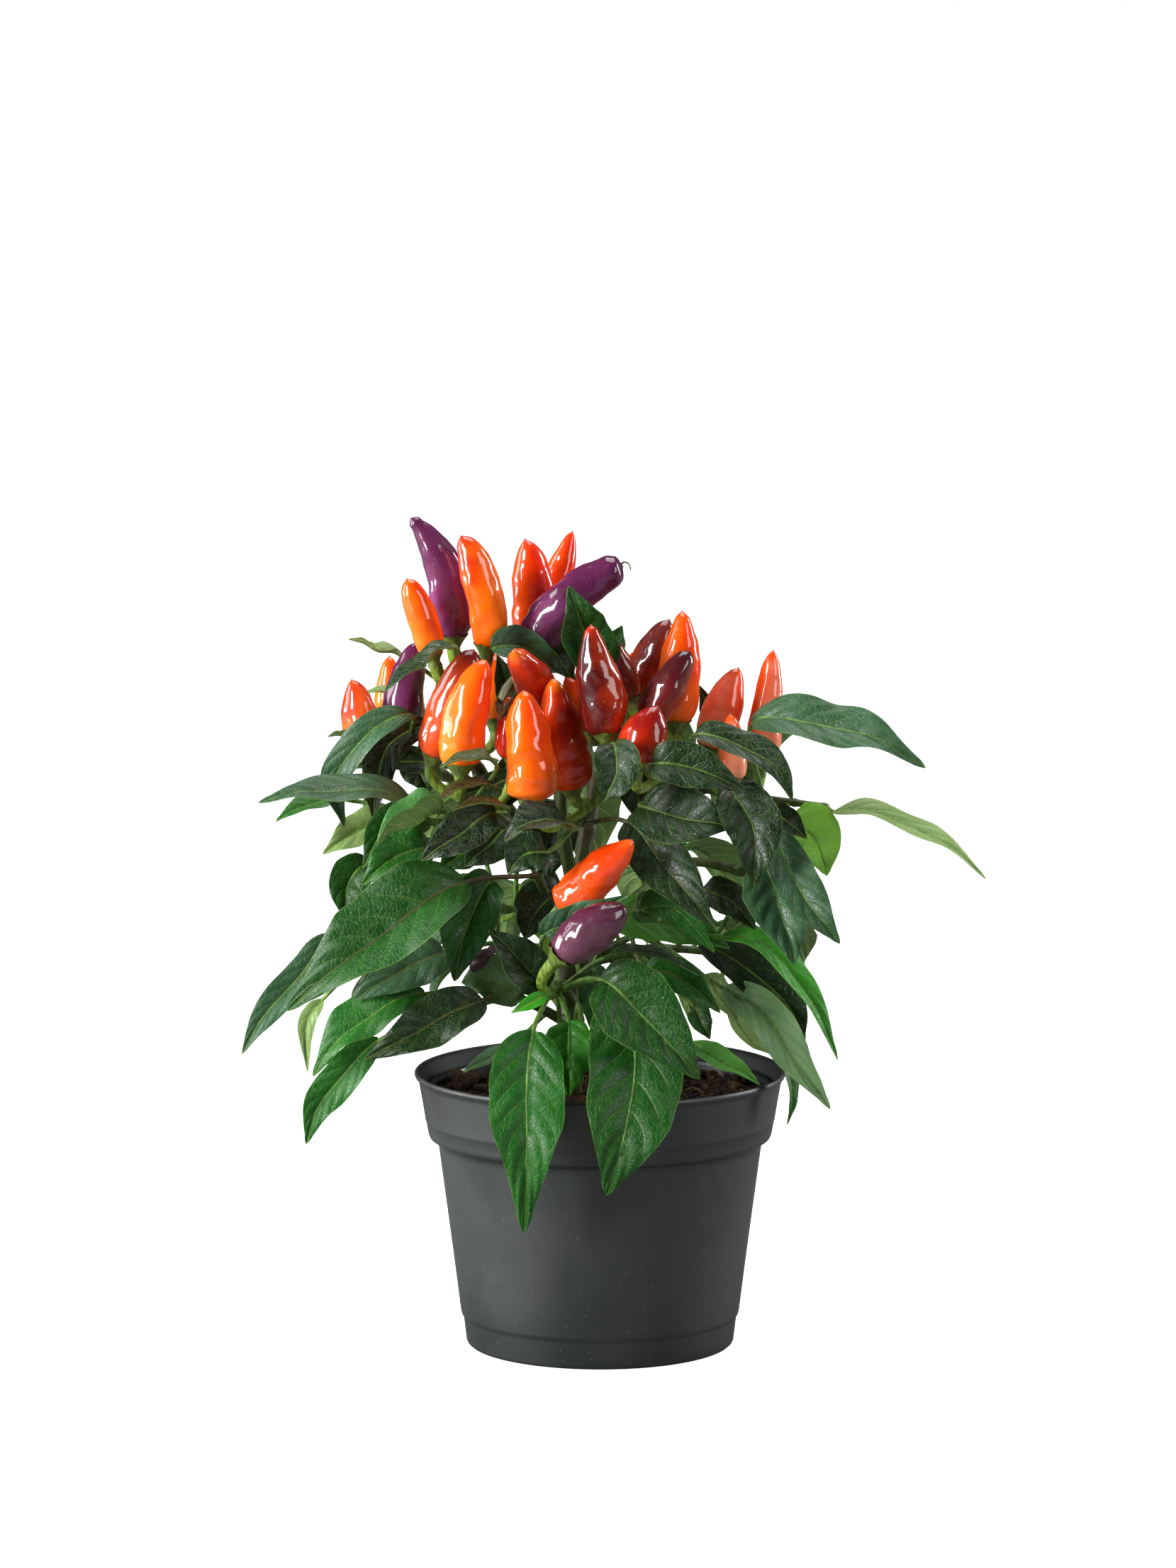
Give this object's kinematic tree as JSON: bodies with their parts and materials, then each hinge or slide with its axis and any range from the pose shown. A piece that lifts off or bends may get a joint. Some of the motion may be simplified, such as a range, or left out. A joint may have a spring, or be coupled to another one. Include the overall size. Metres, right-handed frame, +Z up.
{
  "type": "potted chilli pepper plant",
  "caption": "Bushy ornamental pepper plant with upright tapering fruits above drooping leaves, growing in soil in a round tapered nursery pot.",
  "frame": {"origin": "middle of the pot's flat underside, on the surface that it stands on", "axes": "+Z up the stem, +X to the right and -Y towards the side that the picture shows"},
  "size_m": [0.2368, 0.1553, 0.2698],
  "materials": {
    "pot_plastic": "matte dark grey plastic with fine pale speckles",
    "inner_pot_plastic": "thin satin black plastic",
    "soil": "dark brown fibrous peat",
    "stem": "green to brown ridged stem",
    "leaf": "satin green leaves and stalks",
    "fruit_violet": "smooth glossy skin",
    "fruit_maroon": "smooth glossy skin",
    "fruit_red": "smooth glossy skin",
    "fruit_orange": "smooth glossy skin"
  },
  "bodies": {
    "root": {"pot": "pot_plastic", "inner_pot": "inner_pot_plastic", "soil": "soil", "main_stem": "stem", "top_left_shoot": "leaf", "top_left_fruit_1": "fruit_violet", "top_left_fruit_2": "fruit_orange", "top_left_fruit_3": "fruit_orange", "far_left_shoot": "leaf", "far_left_fruit_1": "fruit_violet", "far_left_fruit_2": "fruit_orange", "far_left_fruit_3": "fruit_red", "left_shoot": "leaf", "left_big_shoot": "leaf", "left_lower_shoot": "leaf", "front_low_shoot": "leaf", "front_low_fruit_1": "fruit_orange", "front_low_fruit_2": "fruit_violet", "centre_shoot": "leaf", "centre_fruit_1": "fruit_orange", "centre_fruit_2": "fruit_maroon", "centre_fruit_3": "fruit_maroon", "centre_left_shoot": "leaf", "centre_left_fruit_1": "fruit_red", "centre_left_fruit_2": "fruit_orange", "centre_left_fruit_3": "fruit_red", "top_shoot": "leaf", "top_fruit_1": "fruit_red", "top_fruit_2": "fruit_red", "top_fruit_3": "fruit_violet", "top_fruit_4": "fruit_red", "top_fruit_5": "fruit_orange", "top_fruit_6": "fruit_maroon", "right_centre_shoot": "leaf", "right_centre_fruit_1": "fruit_maroon", "right_centre_fruit_2": "fruit_orange", "right_centre_fruit_3": "fruit_maroon", "right_centre_fruit_4": "fruit_red", "right_shoot": "leaf", "right_fruit_1": "fruit_red", "right_fruit_2": "fruit_orange", "right_fruit_3": "fruit_red", "right_low_shoot": "leaf", "right_back_shoot": "leaf", "back_left_shoot": "leaf", "back_left_fruit_1": "fruit_red", "back_left_fruit_2": "fruit_orange", "back_shoot": "leaf", "back_fruit_1": "fruit_violet", "back_fruit_2": "fruit_red", "back_fruit_3": "fruit_orange", "back_right_shoot": "leaf", "back_right_fruit_1": "fruit_red", "back_right_fruit_2": "fruit_maroon", "back_low_left_shoot": "leaf", "back_low_shoot": "leaf"}
  },
  "joints": []
}
